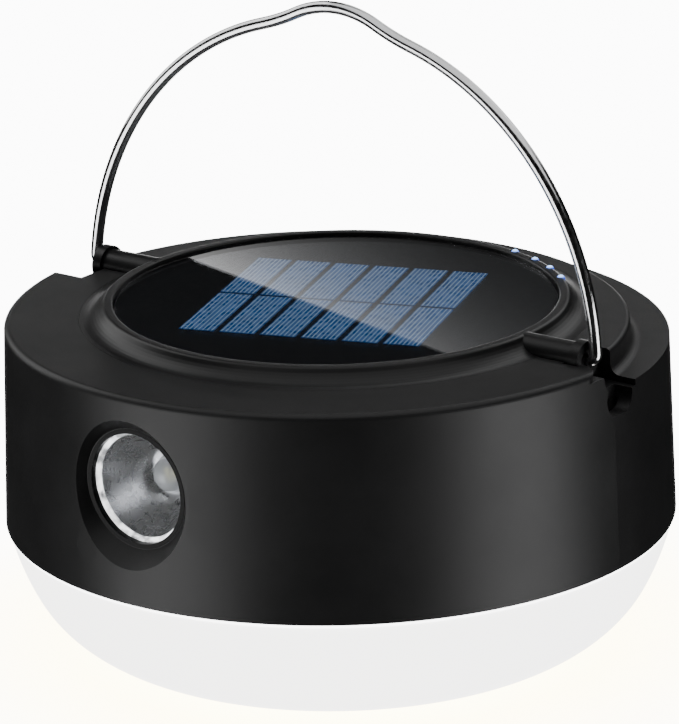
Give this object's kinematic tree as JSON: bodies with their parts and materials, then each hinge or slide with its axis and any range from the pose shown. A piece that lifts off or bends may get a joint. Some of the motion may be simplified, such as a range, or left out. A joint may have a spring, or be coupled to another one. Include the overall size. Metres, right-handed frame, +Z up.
{
  "type": "solar lantern",
  "caption": "Round solar camping lantern: black shell with a side spotlight, a solar cap and folding wire bail on top, and a milky area light below.",
  "frame": {"origin": "centre of the area light's flat bottom, on the floor", "axes": "+Z up, the spotlight faces -Y, the bail's pivots lie along X"},
  "size_m": [0.12, 0.12, 0.1151],
  "materials": {
    "shell": "fine moulded texture",
    "cap": "fine moulded texture, slightly smoother",
    "seal": "matte",
    "screw": "plated",
    "laminate": "high gloss",
    "cell": "blue silicon with silver fingers",
    "clear": "clear",
    "indicator": "lit blue-white",
    "phosphor": "yellow phosphor",
    "circuit_board": "solder mask",
    "milky": "milky satin",
    "white_rubber": "matte",
    "white_plastic": "satin",
    "white_aluminium": "white solder mask",
    "battery": "shrink wrap",
    "inner_plastic": "satin",
    "spring_steel": "nickel plated",
    "chip": "moulded",
    "ferrite": "sintered",
    "reflector": "mirror",
    "heat_sink": "as machined",
    "insulation": "satin",
    "cover_rubber": "matte",
    "button": "satin",
    "wire": "polished"
  },
  "bodies": {
    "lantern": {"housing": "shell", "top_cap": "cap", "cap_seal": "seal", "cap_screws": "screw", "panel_base": "laminate", "solar_cells": "cell", "panel_cover": "clear", "indicator_lenses": "indicator", "indicator_leds": "phosphor", "indicator_board": "circuit_board", "bail_bushes": "cap", "diffuser": "milky", "diffuser_gasket": "white_rubber", "chassis": "white_plastic", "chassis_screws": "screw", "led_board": "white_aluminium", "led_chips": "phosphor", "led_board_screws": "screw", "battery_cells": "battery", "battery_tray": "inner_plastic", "battery_contacts": "spring_steel", "main_board": "circuit_board", "board_screws": "screw", "control_chips": "chip", "charge_coil": "ferrite", "capacitor": "chip", "lead_headers": "white_plastic", "usb_a_socket": "spring_steel", "usb_c_socket": "spring_steel", "button_switch": "inner_plastic", "spot_bezel": "cap", "spot_window": "clear", "spot_reflector": "reflector", "spot_emitter": "phosphor", "spot_board": "white_aluminium", "spot_heat_sink": "heat_sink", "spot_clamp": "inner_plastic", "spot_clamp_screws": "screw", "panel_leads": "insulation", "spot_leads": "insulation", "battery_leads": "insulation", "area_leads": "insulation", "cover_hinge_pin": "screw"},
    "bail": {"bail": "wire"},
    "power_button": {"power_button": "button", "switch_plunger": "inner_plastic"},
    "port_cover": {"port_cover": "cover_rubber"}
  },
  "joints": [
    {"name": "bail_hinge", "type": "hinge", "parent": "lantern", "child": "bail", "pos_m": [0, 0, 0.06], "axis": [1, 0, 0], "range_deg": [-91, 62]},
    {"name": "power_button_press", "type": "slide", "parent": "lantern", "child": "power_button", "axis": [0.6, -0.8, 0], "range_m": [0, 0.0006], "stiffness_N_per_m": 1200, "springref_m": -0.0005},
    {"name": "port_cover_hinge", "type": "hinge", "parent": "lantern", "child": "port_cover", "pos_m": [-0.01696, 0.05547, 0.0385], "axis": [0, 0, 1], "range_deg": [0, 100]}
  ]
}
